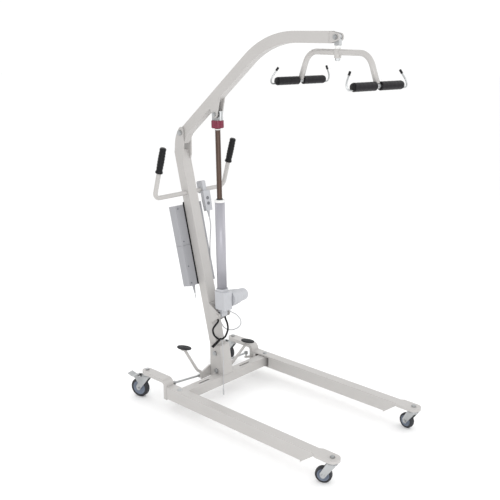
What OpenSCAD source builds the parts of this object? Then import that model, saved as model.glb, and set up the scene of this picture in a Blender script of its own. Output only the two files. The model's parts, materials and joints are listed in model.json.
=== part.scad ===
// Floor-type patient lift hoist. Front toward -Y, up +Z, origin on the floor under the middle.

/* [Base] */
// Half distance between the two leg pivots
leg_x = 318; // [300:1:340]
// Length of a leg from its pivot forward to the front caster stem
leg_reach = 951; // [900:1:1000]
// Distance from the leg pivot back to the rear caster stem
rear_reach = 247; // [240:1:270]
// Width of the leg tube
leg_w = 50; // [46:1:54]
// Height of the leg tube
leg_h = 63; // [61:1:66]
// Height of the underside of the leg tube above the floor
leg_z = 58.5; // [57:0.5:60]

/* [Casters] */
// Radius of the front wheels
front_r = 37.5; // [34:0.5:38]
// Radius of the rear wheels
rear_r = 50; // [46:0.5:51]
// Swivel angle of the front left caster at rest
front_left_turn = 24; // [-40:1:40]
// Swivel angle of the front right caster at rest
front_right_turn = -8; // [-40:1:40]
// Swivel angle of the rear left caster at rest
rear_left_turn = 15; // [-30:1:30]
// Swivel angle of the rear right caster at rest
rear_right_turn = 10; // [-30:1:30]

/* [Mast] */
// Rearward lean of the mast
lean = 13.8; // [13.5:0.1:14]
// Width of the mast tube across the hoist
mast_w = 60; // [59:1:60]
// Depth of the mast tube
mast_d = 50; // [48:1:52]
// Diameter of the push handle bar
handle_d = 23; // [20:1:25]

/* [Boom] */
// Slope of the lower boom
boom_slope = 40; // [38:1:41]
// Width of the boom tube
boom_w = 40; // [36:1:40]
// Depth of the boom tube
boom_d = 50; // [46:1:50]

/* [Spreader] */
// Turn of the spreader about its swivel at rest
spreader_turn = -11.3; // [-90:0.1:90]
// Half distance between the two sling bars
bar_reach = 240; // [200:5:260]
// Overall length of a sling bar
bar_len = 262; // [240:2:280]

/* [Hidden] */
$fn = 64;

// Place of the cross beam's middle, so that the whole hoist stands centred on the origin
beam_at = [6.8, 312.2, 0];

beam_d = 50;
beam_z = 62;
beam_top = beam_z + beam_d;
wall = 3;
leg_top = leg_z + leg_h;
front_pad_z = leg_top - 13;
neck_top = 156;
neck_t = 20;
leg_rear = 73;
front_trail = 36;
rear_trail = 47;
front_wheel_w = 26;
rear_wheel_w = 30;
pivot_d = 16;
fit = 0.1;

// Steel greys and plastics
cream = "#d8d5cf";
zinc = "#b9bcbc";
black = "#1d1d1f";
dark = "#3b3c3e";
pale = "#c9cdd6";

// ---- shared shapes ----

// Extrudes a (y, z) side outline across X
module side(w) rotate([90, 0, 90]) linear_extrude(w, center = true) children();

// Straight round bar from point a to point b
module bar(a, b, d) {
    v = b - a;
    l = norm(v);
    translate(a) rotate([0, acos(v[2] / l), atan2(v[1], v[0])]) cylinder(d = d, h = l);
}

// Round tube that starts along +X and takes a list of [straight length, turn]
module bent_tube(d, r, runs, i = 0) {
    straight = runs[i][0];
    turn = runs[i][1];
    rotate([0, 90, 0]) cylinder(d = d, h = straight);
    if (turn != 0) translate([straight, 0, 0]) {
        translate([0, sign(turn) * r, 0]) rotate([0, 0, turn > 0 ? -90 : 90 + turn])
            rotate_extrude(angle = abs(turn)) translate([r, 0]) circle(d = d);
        translate([r * sin(abs(turn)), sign(turn) * r * (1 - cos(turn)), 0]) rotate([0, 0, turn])
            bent_tube(d, r, runs, i + 1);
    }
}

// Rectangle with round corners, centred
module rounded(w, h, r) {
    square([w - 2 * r, h], center = true);
    square([w, h - 2 * r], center = true);
    for (x = [-1, 1], y = [-1, 1]) translate([x * (w / 2 - r), y * (h / 2 - r)]) circle(r = r);
}

// Domed hexagon head standing on z = 0
module hex_head(af, h) {
    cylinder(d = af / cos(30), h = h - 1, $fn = 6);
    cylinder(d = af * 0.92, h = h);
}

// Mirrors the children to the right side when s is 1
module on_side(s) mirror([s > 0 ? 1 : 0, 0, 0]) children();

// Tube through the points c: every ring stands square to the line
module tube_along(c, d, sides, aside) {
    n = len(c);
    rings = [for (i = [0:n - 1]) let (
        t = unit(c[min(i + 1, n - 1)] - c[max(i - 1, 0)]),
        u = unit(cross(t, aside)),
        v = cross(t, u)
    ) for (k = [0:sides - 1]) c[i] + d / 2 * (cos(360 * k / sides) * u + sin(360 * k / sides) * v)];
    walls = [for (i = [0:n - 2], k = [0:sides - 1]) [
        sides * i + k, sides * (i + 1) + k,
        sides * (i + 1) + (k + 1) % sides, sides * i + (k + 1) % sides
    ]];
    polyhedron(rings, concat(walls, [
        [for (k = [0:sides - 1]) k], [for (k = [sides - 1:-1:0]) sides * (n - 1) + k]
    ]));
}

function unit(v) = v / norm(v);

// ---- cross beam and socket ----

slot_x = 150;
slot_len = 75;
slot_w = 9;

module cross_beam() color(cream) translate(beam_at) difference() {
    union() {
        difference() {
            translate([-330, -beam_d / 2, beam_z]) cube([660, beam_d, beam_d]);
            translate([-331, -beam_d / 2 + wall, beam_z + wall])
                cube([662, beam_d - 2 * wall, beam_d - 2 * wall]);
        }
        for (s = [-1, 1]) translate([s * leg_x, 0, leg_z + wall + fit])
            cylinder(d = 24, h = leg_h - 2 * wall - 2 * fit);
    }
    for (s = [-1, 1]) {
        translate([s * leg_x, 0, 0]) cylinder(d = pivot_d, h = 200);
        translate([s * slot_x, 0, beam_top - wall - 1]) linear_extrude(wall + 2)
            for (e = [-1, 1]) {
                translate([e * (slot_len - slot_w) / 2, 0]) circle(d = slot_w);
                square([slot_len - slot_w, slot_w], center = true);
            }
    }
}

socket_top = 270;
socket_bolts = [[23, 127], [33, 222]];
rocker_z = 105;
rocker_y = 76;

module socket_side() polygon([
    [-27, beam_top], [25, beam_top], [25, 87], [70, 87], [70, socket_top], [-2, socket_top]
]);

module mast_space() rotate([-lean, 0, 0]) translate([0, 0, 200])
    cube([mast_w, mast_d, 500], center = true);

module mast_socket() color(cream) translate(beam_at) difference() {
    union() {
        for (s = [-1, 1]) translate([s * (mast_w / 2 + 2.5), 0, 0]) side(5) socket_side();
        side(mast_w) polygon([[-27, beam_top], [-22, beam_top], [3, socket_top], [-2, socket_top]]);
        side(mast_w) polygon([[0, socket_top - 5], [40, socket_top - 5], [40, socket_top], [-2, socket_top]]);
        side(mast_w) polygon([[64, 87], [70, 87], [70, 128], [64, 128]]);
    }
    translate([0, 0, 60]) mast_space();
    for (b = socket_bolts) translate([0, b[0], b[1]]) rotate([0, 90, 0])
        cylinder(d = 12, h = 100, center = true);
    translate([0, 50, rocker_z]) rotate([-90, 0, 0]) cylinder(d = 12, h = 60);
}

module base_bolts() color(zinc) translate(beam_at) {
    for (s = [-1, 1]) translate([s * leg_x, 0, 0]) {
        translate([0, 0, 50]) cylinder(d = pivot_d, h = leg_top - 50);
        translate([0, 0, leg_top + fit]) cylinder(d1 = 26, d2 = 16, h = 5);
        translate([0, 0, 48]) cylinder(d = 27, h = leg_z - 48 - fit, $fn = 6);
    }
    for (b = socket_bolts) translate([0, b[0], b[1]]) rotate([0, 90, 0]) {
        cylinder(d = 12, h = 80, center = true);
        for (s = [0, 180]) rotate([0, s, 0]) translate([0, 0, 35]) hex_head(24, 9);
    }
    translate([0, 58, rocker_z]) rotate([-90, 0, 0]) {
        cylinder(d = 12, h = 26);
        hex_head(18, 6);
        translate([0, 0, 12.5]) cylinder(d = 20, h = 1.4);
        translate([0, 0, 22.1]) hex_head(18, 9);
    }
}

// ---- mast ----

pivot_y = 271;
pivot_z = 1350;
mast_foot = 60;
mast_len = 1232;
ear_gap = 44;
pin_y = 9;
pin_z = 436;

// Frame of the mast: local z runs up the leaning axis
module on_mast() translate([0, 0, 60]) rotate([-lean, 0, 0]) children();

module ear_outline() {
    intersection() {
        translate([163, 1278]) circle(r = 150, $fn = 128);
        union() {
            translate([251, 1277]) square([62, 88]);
            translate([265, 1365]) circle(r = 14);
            translate([265, 1277]) square([48, 102]);
        }
    }
    polygon([[258, 1212], [251, 1240], [251, 1278], [313, 1278], [316, 1252], [309, 1212]]);
}

module actuator_ears() for (s = [-1, 1]) translate([s * 36, 0, 0]) side(5) {
    translate([pin_y, pin_z]) circle(r = 16);
    polygon([[pin_y, pin_z - 16], [pin_y, pin_z + 16], [72, pin_z + 52], [57, pin_z - 52]]);
}

module mast() color(cream) translate(beam_at) difference() {
    union() {
        difference() {
            on_mast() translate([-mast_w / 2, -mast_d / 2, mast_foot])
                cube([mast_w, mast_d, mast_len - mast_foot]);
            on_mast() translate([-mast_w / 2 + wall, -mast_d / 2 + wall, mast_foot - 1])
                cube([mast_w - 2 * wall, mast_d - 2 * wall, mast_len]);
        }
        for (s = [-1, 1]) translate([s * (ear_gap / 2 + 4), 0, 0]) side(8) ear_outline();
        actuator_ears();
        difference() {
            side(77) polygon([
                [57, pin_z - 52], [72, pin_z + 52], [76, pin_z + 52], [61, pin_z - 52]
            ]);
            on_mast() translate([-mast_w / 2 + 1, -mast_d / 2 + 1, mast_foot])
                cube([mast_w - 2, mast_d, mast_len]);
        }
        bar([-38.5, pin_y, pin_z], [38.5, pin_y, pin_z], 12);
        for (s = [-1, 1]) translate([s * 38.5, pin_y, pin_z]) rotate([0, s * 90, 0]) hex_head(19, 8);
    }
    translate([0, pivot_y, pivot_z]) rotate([0, 90, 0]) cylinder(d = 16, h = 100, center = true);
    for (b = socket_bolts) translate([0, b[0], b[1]]) rotate([0, 90, 0])
        cylinder(d = 12, h = 100, center = true);
    translate([0, handle_y, handle_z]) rotate([0, 90, 0]) cylinder(d = handle_d, h = 100, center = true);
}

// ---- handle bar ----

handle_y = 238;
handle_z = 1046;
handle_lean = 16.5;
handle_run = 206;
handle_bend = 34;
handle_up = 232;

module half_handle() translate([0, handle_y, handle_z]) rotate([90 + handle_lean, 0, 0])
    bent_tube(handle_d, handle_bend, [[handle_run, 90], [handle_up, 0]]);

module handlebar() color(cream) translate(beam_at) {
    half_handle();
    mirror([1, 0, 0]) half_handle();
}

grip_len = 130;

module grip() color(black) translate([0, handle_y, handle_z]) rotate([handle_lean, 0, 0])
    translate([handle_run + handle_bend, 0, 0]) difference() {
        translate([0, 0, handle_up + handle_bend + 4 - grip_len]) {
            cylinder(d = 33, h = grip_len);
            for (i = [0:5]) translate([0, 0, 18 + 18 * i]) cylinder(d = 35.5, h = 5);
            cylinder(d = 37, h = 5);
        }
        cylinder(d = handle_d, h = handle_up + handle_bend);
    }

module left_grip() translate(beam_at) mirror([1, 0, 0]) grip();
module right_grip() translate(beam_at) grip();

// ---- legs ----

nose_y = -866;
slant_y = -796;

module leg_outline() polygon([
    [leg_rear, leg_z], [leg_rear, leg_top], [nose_y - 4, leg_top], [nose_y - 4, front_pad_z],
    [nose_y, front_pad_z - 4], [slant_y, leg_z - 8], [slant_y, leg_z]
]);

module leg_inside() polygon([
    [leg_rear + 1, leg_z + wall], [leg_rear + 1, leg_top - wall],
    [nose_y + 8, leg_top - wall], [slant_y + 4, leg_z + wall]
]);

// The left leg about its own centre line
module leg() color(cream) difference() {
    union() {
        difference() {
            side(leg_w) leg_outline();
            side(leg_w - 2 * wall) leg_inside();
        }
        translate([0, 0, front_pad_z]) linear_extrude(leg_top - front_pad_z) {
            polygon([
                [-25, nose_y + 4], [25, nose_y + 4], [35, nose_y - 14], [35, -leg_reach],
                [-35, -leg_reach], [-35, nose_y - 14]
            ]);
            translate([0, -leg_reach]) circle(r = 35);
        }
    }
    cylinder(d = pivot_d + fit, h = 200);
    translate([leg_w / 2 - wall - 1, -48, 60]) cube([10, 96, 54]);
    translate([0, -leg_reach, 0]) cylinder(d = 12, h = 200);
}

module left_leg() translate(beam_at + [-leg_x, 0, 0]) leg();
module right_leg() translate(beam_at + [leg_x, 0, 0]) on_side(1) leg();

lug_x = 50;
lug_y = 97;

module gooseneck() color(cream) difference() {
    union() {
        side(leg_w) {
            translate([leg_rear, 51]) square([neck_t, neck_top - 32 - 51]);
            intersection() {
                difference() {
                    translate([leg_rear + 32, neck_top - 32]) circle(r = 32);
                    translate([leg_rear + 32, neck_top - 32]) circle(r = 12);
                }
                translate([leg_rear, neck_top - 32]) square(32);
            }
            translate([leg_rear + 32, neck_top - neck_t]) square([60, neck_t]);
        }
        translate([0, 0, neck_top - neck_t]) linear_extrude(neck_t) {
            translate([-25, leg_rear + 60]) square([50, rear_reach - leg_rear - 60]);
            translate([0, rear_reach]) circle(r = 25);
        }
        translate([0, 0, 84]) linear_extrude(6) {
            polygon([[24, 75], [24, 92], [lug_x, lug_y + 9], [lug_x, lug_y - 9], [36, 75]]);
            translate([lug_x, lug_y]) circle(r = 9);
        }
        translate([lug_x, lug_y, 84]) cylinder(d = 8, h = 16);
    }
    translate([0, rear_reach, 0]) cylinder(d = 12, h = 200);
}

module left_gooseneck() translate(beam_at + [-leg_x, 0, 0]) gooseneck();
module right_gooseneck() translate(beam_at + [leg_x, 0, 0]) on_side(1) gooseneck();

// ---- casters ----

// Fixed swivel race under the plate, with its bolt through the plate
module caster_stem(under, plate_t, race_d, race_h) color(zinc) {
    translate([0, 0, under - race_h]) cylinder(d = race_d, h = race_h);
    translate([0, 0, under - race_h - 20]) cylinder(d = 12, h = plate_t + race_h + 20);
    translate([0, 0, under + plate_t]) hex_head(19, 8);
    translate([0, 0, under - race_h - 20]) cylinder(d = 18, h = 4);
}

module leg_stems() {
    translate([0, -leg_reach, 0]) caster_stem(front_pad_z, leg_top - front_pad_z, 54, 6);
    translate([0, rear_reach, 0]) caster_stem(neck_top - neck_t, neck_t, 48, 7);
}

module left_caster_stems() translate(beam_at + [-leg_x, 0, 0]) leg_stems();
module right_caster_stems() translate(beam_at + [leg_x, 0, 0]) leg_stems();

// Swivelling fork: r wheel radius, w wheel width, top the underside of the race
module fork(r, w, trail, top, crown_d) color(zinc) difference() {
    union() {
        translate([0, 0, top - 11.1]) cylinder(d = crown_d, h = 11);
        translate([0, 0, top - 7]) cylinder(d = crown_d + 5, h = 4);
        for (s = [-1, 1]) translate([s * (w / 2 + 4), 0, 0]) side(3) {
            polygon([
                [-18, top - 3], [20, top - 3], [trail + 14, r + 8], [trail + 11, r - 4],
                [trail - 11, r - 4], [-16, top - 14]
            ]);
            translate([trail, r]) circle(r = 12);
        }
        translate([0, trail, r]) rotate([0, 90, 0]) {
            cylinder(d = 8, h = w + 11, center = true);
            for (m = [0, 180]) rotate([0, m, 0]) translate([0, 0, w / 2 + 5.5]) hex_head(13, 5);
        }
        if (r > 40) translate([0, brake_y, brake_z]) rotate([0, 90, 0])
            cylinder(d = 7, h = w + 11, center = true);
        if (r > 40) for (s = [-1, 1]) translate([s * (w / 2 + 4), 0, 0]) side(3) {
            translate([brake_y, brake_z]) circle(r = 7);
            polygon([[18, top - 12], [brake_y, brake_z + 7], [brake_y + 5, brake_z - 5], [40, 70]]);
        }
    }
    translate([0, 0, top - 40]) cylinder(d = 12 + fit, h = 60);
    translate([0, 0, top - 40]) cylinder(d = 19, h = 28.5);
}

module wheel_hub(r, w) color(pale) rotate([0, 90, 0]) rotate_extrude() polygon([
    [4 + fit / 2, -w / 2 - 1], [10, -w / 2 - 1],
    [12, -w / 2 + 4], [r * 0.62, -w / 2 + 5], [r * 0.66, -w / 2 + 1],
    [r * 0.72, -w / 2 + 1], [r * 0.72, w / 2 - 1], [r * 0.66, w / 2 - 1], [r * 0.62, w / 2 - 5],
    [12, w / 2 - 4], [10, w / 2 + 1], [4 + fit / 2, w / 2 + 1]
]);

module wheel_tyre(r, w) color(dark) rotate([0, 90, 0]) rotate_extrude() intersection() {
    translate([r * 0.72, -w / 2]) square([r * 0.28, w]);
    translate([r * 0.8, 0]) rounded(r * 0.4, w, 6);
}

brake_y = 64;
brake_z = 110;

module brake_lever() color(zinc) translate([0, brake_y, brake_z]) difference() {
    union() {
        rotate([0, 90, 0]) cylinder(d = 13, h = rear_wheel_w + 3, center = true);
        side(rear_wheel_w + 3) translate([2, -2]) square([10, 3]);
        side(40) {
            polygon([[8, -2], [21.8, -2], [47, 8.2], [45.8, 11], [21.2, 1], [8, 1]]);
            translate([46.4, 9.6]) circle(r = 2.5);
        }
    }
    rotate([0, 90, 0]) cylinder(d = 7 + fit, h = 60, center = true);
}

// Puts a caster piece at its stem: s side, y stem place, turn swivel angle
module at_caster(s, y, turn) translate(beam_at + [s * leg_x, y, 0]) rotate([0, 0, turn]) children();

module front_fork() fork(front_r, front_wheel_w, front_trail, front_pad_z - 6, 46);
module rear_fork() fork(rear_r, rear_wheel_w, rear_trail, neck_top - neck_t - 7, 48);
module front_wheel_at() translate([0, front_trail, front_r]) children();
module rear_wheel_at() translate([0, rear_trail, rear_r]) children();

module front_left_fork() at_caster(-1, -leg_reach, front_left_turn) front_fork();
module front_right_fork() at_caster(1, -leg_reach, front_right_turn) front_fork();
module rear_left_fork() at_caster(-1, rear_reach, rear_left_turn) rear_fork();
module rear_right_fork() at_caster(1, rear_reach, rear_right_turn) rear_fork();

module front_left_hub() at_caster(-1, -leg_reach, front_left_turn)
    front_wheel_at() wheel_hub(front_r, front_wheel_w);
module front_right_hub() at_caster(1, -leg_reach, front_right_turn)
    front_wheel_at() wheel_hub(front_r, front_wheel_w);
module rear_left_hub() at_caster(-1, rear_reach, rear_left_turn)
    rear_wheel_at() wheel_hub(rear_r, rear_wheel_w);
module rear_right_hub() at_caster(1, rear_reach, rear_right_turn)
    rear_wheel_at() wheel_hub(rear_r, rear_wheel_w);

module front_left_tyre() at_caster(-1, -leg_reach, front_left_turn)
    front_wheel_at() wheel_tyre(front_r, front_wheel_w);
module front_right_tyre() at_caster(1, -leg_reach, front_right_turn)
    front_wheel_at() wheel_tyre(front_r, front_wheel_w);
module rear_left_tyre() at_caster(-1, rear_reach, rear_left_turn)
    rear_wheel_at() wheel_tyre(rear_r, rear_wheel_w);
module rear_right_tyre() at_caster(1, rear_reach, rear_right_turn)
    rear_wheel_at() wheel_tyre(rear_r, rear_wheel_w);

module rear_left_brake() at_caster(-1, rear_reach, rear_left_turn) brake_lever();
module rear_right_brake() at_caster(1, rear_reach, rear_right_turn) brake_lever();

// ---- leg spreading pedal ----

rocker_tilt = 12.3;
arm_y = 82;
rod_y = 97;
pad_x = 242;
pad_z = 137.5;

// Frame of the rocker: local origin on its pivot, level, tilted to its rest place
module on_rocker() translate([0, 0, rocker_z]) rotate([0, rocker_tilt, 0]) children();

// Centre line of a pedal arm, bent upward at its knee
arm_line = [
    [78, arm_y, -12.5], [110, arm_y, 0.9], [121, arm_y, 6.6], [129, arm_y, 12.7], [136.5, arm_y, 20],
    [pad_x - 4, arm_y, pad_z - 10.5]
];

module rocker_arm() {
    tube_along(arm_line, 15, 24, [0, 1, 0]);
    translate([pad_x, arm_y, pad_z - 14]) cylinder(d = 30, h = 9.5);
}

module rocker_pin(x, z) translate([x, 76, z]) rotate([-90, 0, 0]) {
    cylinder(d = 8, h = 28);
    translate([0, 0, 26]) cylinder(d = 13, h = 3);
}

module pedal_rocker() color(cream) translate(beam_at) on_rocker() difference() {
    union() {
        translate([0, rocker_y, 0]) side_y(8) polygon([
            [-104, -10], [-45, 31], [46, 34], [96, 42], [104, -10], [94, -42], [33, -28], [-33, -28], [-94, -42]
        ]);
        rocker_arm();
        mirror([1, 0, 0]) rocker_arm();
        rocker_pin(-88, -30);
        rocker_pin(88, 30);
    }
    rotate([-90, 0, 0]) cylinder(d = 12 + fit, h = 200);
}

// Extrudes an (x, z) front outline along Y
module side_y(w) rotate([90, 0, 0]) linear_extrude(w, center = true) children();

module pedal_pads() color(dark) translate(beam_at) on_rocker()
    for (s = [-1, 1]) translate([s * pad_x, arm_y, pad_z - 4.5]) {
        rotate_extrude() intersection() {
            square([37, 9]);
            translate([0, 4.5]) rounded(74, 9, 3);
        }
    }

// Tie rod from its eye on the rocker at a to its cup over the leg lug at b
module tie_rod(a, b) color(zinc) {
    difference() {
        union() {
            translate(a) rotate([90, 0, 0]) cylinder(d = 20, h = 9, center = true);
            bar(a, b, 10);
        }
        translate(a) rotate([90, 0, 0]) cylinder(d = 8 + fit, h = 30, center = true);
    }
    translate(b) cylinder(d = 20, h = 14, center = true);
}

left_pin = [-92.4, rod_y, rocker_z - 10.6];
right_pin = [92.4, rod_y, rocker_z + 10.6];
cup_z = 112;

module left_tie_rod() translate(beam_at) tie_rod(left_pin, [-leg_x + lug_x, rod_y, cup_z]);
module right_tie_rod() translate(beam_at) tie_rod(right_pin, [leg_x - lug_x, rod_y, cup_z]);

// ---- boom ----

boom_z = 1821.5;
slope_y = -300.4;
boom_r = 435;
boom_tip = -640;
tangent = boom_r * tan(boom_slope / 2);
arc_y = slope_y - tangent;
foot_y = 248;
foot_z = boom_z - (foot_y - slope_y) * tan(boom_slope);
foot_len = 62;
foot_slope = 60;
slope_len = (foot_y - slope_y) / cos(boom_slope) - tangent;

// Side outline of the boom grown by g from its centre line
module boom_outline(g, past) {
    translate([boom_tip - past, boom_z - g]) square([arc_y - boom_tip + past, 2 * g]);
    translate([arc_y, boom_z - boom_r]) intersection() {
        difference() {
            circle(r = boom_r + g, $fn = 180);
            circle(r = boom_r - g, $fn = 180);
        }
        polygon([[0, 0], [0, 600], [600 * tan(boom_slope), 600]]);
    }
    translate([foot_y, foot_z]) {
        rotate(180 - boom_slope) translate([0, -g]) square([slope_len, 2 * g]);
        circle(r = g);
        rotate(-foot_slope) translate([0, -g]) square([foot_len + past, 2 * g]);
    }
}

pin2_y = 33.5;
pin2_z = 1457;

module boom() color(cream) translate(beam_at) difference() {
    union() {
        difference() {
            side(boom_w) boom_outline(boom_d / 2, 0);
            side(boom_w - 2 * wall) boom_outline(boom_d / 2 - wall, 1);
        }
        translate([0, pivot_y, pivot_z]) rotate([0, 90, 0]) cylinder(d = 24, h = boom_w + 2, center = true);
    }
    translate([0, pivot_y, pivot_z]) rotate([0, 90, 0]) cylinder(d = 16 + fit, h = 60, center = true);
}

hanger_y = -680;
hanger_z = 1822;

module boom_clevis() color(cream) translate(beam_at) difference() {
    union() {
        translate([-boom_w / 2, boom_tip - 6, boom_z - boom_d / 2]) cube([boom_w, 6, boom_d]);
        for (s = [-1, 1]) translate([s * 14, 0, 0]) side(8) {
            translate([hanger_y, hanger_z]) circle(r = 17);
            polygon([
                [hanger_y, hanger_z - 17], [boom_tip - 5, boom_z - 24], [boom_tip - 5, boom_z + 24],
                [hanger_y, hanger_z + 17]
            ]);
        }
    }
    translate([0, hanger_y, hanger_z]) rotate([0, 90, 0]) cylinder(d = 12, h = 60, center = true);
}

// Height of the sloping boom's underside at y
function boom_under(y) = foot_z + (foot_y - y) * tan(boom_slope) - boom_d / 2 / cos(boom_slope) - 0.02;

module boom_bracket() color(cream) translate(beam_at) for (s = [-1, 1])
    translate([s * 17, 0, 0]) difference() {
        side(6) {
            translate([pin2_y, pin2_z]) circle(r = 18);
            polygon([
                [pin2_y - 18, pin2_z], [pin2_y + 18, pin2_z], [64, boom_under(64)], [-2, boom_under(-2)]
            ]);
        }
        translate([0, pin2_y, pin2_z]) rotate([0, 90, 0]) cylinder(d = 12, h = 20, center = true);
    }

module boom_bolts() color(zinc) translate(beam_at) {
    for (b = [[pin2_y, pin2_z, 20, 62], [hanger_y, hanger_z, 18, 58]]) translate([0, b[0], b[1]])
        rotate([0, 90, 0]) {
            cylinder(d = 12, h = b[3], center = true);
            for (m = [0, 180]) rotate([0, m, 0]) translate([0, 0, b[2]]) hex_head(19, 9);
        }
}

module boom_pivot_bolt() color(zinc) translate(beam_at + [0, pivot_y, pivot_z]) rotate([0, 90, 0]) {
    cylinder(d = 16, h = 76, center = true);
    for (m = [0, 180]) rotate([0, m, 0]) translate([0, 0, 30]) hex_head(24, 10);
}

// ---- hanger and spreader ----

hub_top = 1774;
hub_foot = 1737;

module on_hanger() translate([0, hanger_y, 0]) children();

module hanger_block() color(zinc) translate(beam_at) on_hanger() difference() {
    union() {
        translate([0, 0, hanger_z]) rotate([0, 90, 0]) cylinder(d = 28, h = 19.6, center = true);
        translate([-9.8, -12, hub_top + 14]) cube([19.6, 24, hanger_z - hub_top - 14]);
        translate([0, 0, hub_foot - 12]) cylinder(d = 12, h = 80);
        translate([0, 0, hub_foot - 10]) cylinder(d = 19 / cos(30), h = 9.9, $fn = 6);
    }
    translate([0, 0, hanger_z]) rotate([0, 90, 0]) cylinder(d = 12 + fit, h = 60, center = true);
}

module swivel_collar() color("#eeeeec") translate(beam_at) on_hanger()
    translate([0, 0, hub_top + 0.1]) difference() {
        cylinder(d = 26, h = 13.8);
        translate([0, 0, -1]) cylinder(d = 12, h = 20);
    }

tube_z = 1761;
spreader_d = 25;
knee_y = 187;
bar_z = 1636;
arm_drop = atan2(tube_z - bar_z, bar_reach - knee_y);
arm_bend = 80;
arm_tangent = arm_bend * tan(arm_drop / 2);

// Frame of the spreader: long axis along Y, turned about the swivel
module on_spreader() on_hanger() rotate([0, 0, spreader_turn]) children();

bend_steps = 8;
bend_centre = [knee_y - arm_tangent, tube_z - arm_bend];

// Centre line of half the tube: the bend, then the splayed arm down to its bar
half_line = concat(
    [for (i = [0:bend_steps]) let (
        a = 90 - arm_drop * i / bend_steps,
        q = bend_centre + arm_bend * [cos(a), sin(a)]
    ) [0, q[0], q[1]]],
    [[0, bar_reach - 6 * cos(arm_drop), bar_z + 6 * sin(arm_drop)]]
);
line_end = len(half_line) - 1;
spreader_line = concat([for (i = [line_end:-1:0]) [0, -half_line[i][1], half_line[i][2]]], half_line);

module spreader_frame() color(cream) translate(beam_at) on_spreader() difference() {
    union() {
        tube_along(spreader_line, spreader_d, 28, [1, 0, 0]);
        translate([0, 0, hub_foot]) cylinder(d = 30, h = hub_top - hub_foot);
    }
    cylinder(d = 12 + fit, h = 2000);
    for (s = [-1, 1]) translate([0, s * bar_reach, bar_z]) rotate([0, 90, 0])
        cylinder(d = 20, h = 200, center = true);
}

hook_lean = 14;
hook_drop = 11;

// Centre line of a wire hook: out of the bar's end, up, then leaning back over it
hook_line = [
    [2, 0, 0], [20, 0, 0], [27, 1.9, 0], [32, 7, 0], [33.8, 14, 0], [33.2, 24, 0], [29.5, 34, 0], [7, 69, 0]
];
tip_turn = 32.7;
tip_from = 27.6;

// Everything at a sling bar: s is its end of the spreader, frame along the bar
module on_bar(s) translate([0, s * bar_reach, bar_z]) rotate([0, 0, s > 0 ? 0 : 180]) children();

// Frame of one wire hook: e is its end of the bar, +X outward and +Y up
module on_hook(e) rotate([hook_lean, 0, 0]) rotate([0, 0, e > 0 ? 0 : 180])
    translate([bar_len / 2, 0, -hook_drop]) rotate([90, 0, 0]) children();

module sling_bars() color(zinc) translate(beam_at) on_spreader() for (s = [-1, 1]) on_bar(s) {
    rotate([0, 90, 0]) cylinder(d = 20, h = bar_len, center = true);
    for (e = [-1, 1]) {
        rotate([0, e * 90, 0]) translate([0, 0, bar_len / 2]) cylinder(d = 30, h = 4);
        on_hook(e) tube_along(hook_line, 7, 10, [0, 0, 1]);
    }
}

foam_len = 118;

module bar_foams() color(black) translate(beam_at) on_spreader() for (s = [-1, 1]) on_bar(s)
    for (e = [-1, 1]) rotate([0, e * 90, 0]) translate([0, 0, bar_len / 2 - foam_len]) difference() {
        cylinder(d = 36, h = foam_len);
        translate([0, 0, -1]) cylinder(d = 20, h = foam_len + 2);
    }

module hook_tips() color(black) translate(beam_at) on_spreader() for (s = [-1, 1]) on_bar(s)
    for (e = [-1, 1]) on_hook(e) translate([29.5, 34, 0]) rotate([0, 0, tip_turn]) rotate([-90, 0, 0])
        difference() {
            translate([0, 0, tip_from]) cylinder(d = 10, h = 17);
            cylinder(d = 7.1, h = tip_from + 14.2);
        }

// ---- actuator ----

act_tilt = atan2(pin2_y - pin_y, pin2_z - pin_z);
act_len = norm([pin2_y - pin_y, pin2_z - pin_z]);

// Frame of the actuator: local z runs from the lower pin to the upper pin
module on_actuator() translate([0, pin_y, pin_z]) rotate([-act_tilt, 0, 0]) children();

motor_y = -19;
motor_z = 80;
housing_low = 31;
tube_low = housing_low + 109;
tube_high = 594;

module actuator_housing() color(pale) translate(beam_at) on_actuator() difference() {
    union() {
        translate([0, -8, housing_low]) linear_extrude(96) rounded(60, 78, 12);
        translate([0, -2, housing_low + 95]) linear_extrude(14) rounded(54, 56, 20);
        side(40) {
            circle(r = 15);
            translate([-15, 0]) square([30, housing_low + 2]);
        }
    }
    rotate([0, 90, 0]) cylinder(d = 12, h = 100, center = true);
}

module actuator_motor() color(pale) translate(beam_at) on_actuator()
    translate([30, motor_y, motor_z]) rotate([0, 90, 0]) rotate_extrude() polygon([
        [0, 0], [42, 0], [42, 26], [38, 60], [36, 63], [34, 66], [32, 100], [30, 111], [25, 118], [0, 120]
    ]);

module actuator_tube() color("#b7b6c4") translate(beam_at) on_actuator() difference() {
    union() {
        translate([0, 0, tube_low]) cylinder(d = 50, h = tube_high - tube_low - 2);
        translate([0, 0, tube_high - 4]) cylinder(d = 53, h = 12);
    }
    translate([0, 0, tube_low + 20]) cylinder(d = 44, h = tube_high - tube_low - 40);
    translate([0, 0, tube_low + 10]) cylinder(d = 26 + fit, h = 600);
}

rod_low = 560;
ring_low = 955;
ring_high = 992;

module piston_rod() color("#8a7560") translate(beam_at) on_actuator()
    translate([0, 0, rod_low]) cylinder(d = 26, h = ring_low + 2 - rod_low);

module release_ring() color("#93263a") translate(beam_at) on_actuator() difference() {
    translate([0, 0, ring_low]) {
        cylinder(d = 57, h = ring_high - ring_low);
        for (i = [0:17]) rotate([0, 0, 20 * i]) translate([28, 0, 2])
            cylinder(d = 4.6, h = ring_high - ring_low - 4);
    }
    translate([0, 0, ring_low - 1]) cylinder(d = 26 + fit, h = 50);
    translate([0, 0, ring_low + 2 - fit]) cylinder(d = 34 + fit, h = 50);
}

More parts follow.
